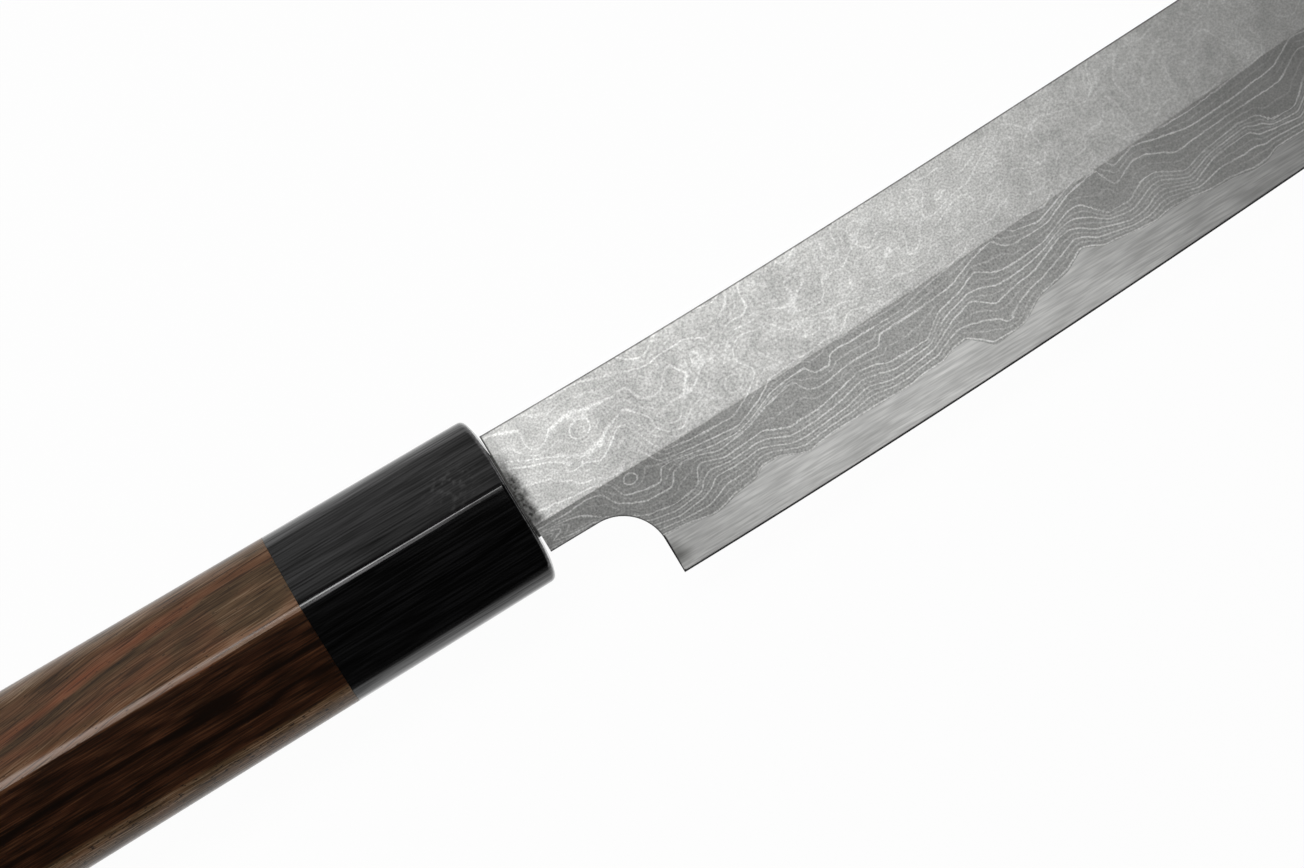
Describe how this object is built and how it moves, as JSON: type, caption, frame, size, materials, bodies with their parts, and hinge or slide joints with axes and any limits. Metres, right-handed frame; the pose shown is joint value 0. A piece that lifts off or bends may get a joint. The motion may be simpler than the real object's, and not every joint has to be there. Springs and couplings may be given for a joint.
{
  "type": "takohiki knife",
  "caption": "Long, narrow slicing knife with a single bevel and a square tip, forged from layered iron and hard steel, on a black-collared wooden handle with one ridge.",
  "frame": {"origin": "centre of the handle's flat butt face", "axes": "+X along the handle to the blade's tip, +Y from the cutting edge towards the spine, +Z out of the bevelled face"},
  "size_m": [0.415, 0.0371, 0.0232],
  "materials": {
    "layered_iron": "layered soft iron, etched satin with fine light lines between the layers",
    "core_steel": "hard cutting steel, ground with fine lines along the blade",
    "black_wood": "near-black close-grained wood, polished",
    "rosewood": "dark reddish brown wood with darker figure, oiled and polished",
    "dowel_wood": "plain hardwood, unfinished",
    "resin": "cast amber resin"
  },
  "bodies": {
    "root": {"blade_cladding": "layered_iron", "blade_core_steel": "core_steel", "ferrule": "black_wood", "handle_grip": "rosewood", "joint_dowel": "dowel_wood", "tang_bedding": "resin"}
  },
  "joints": []
}
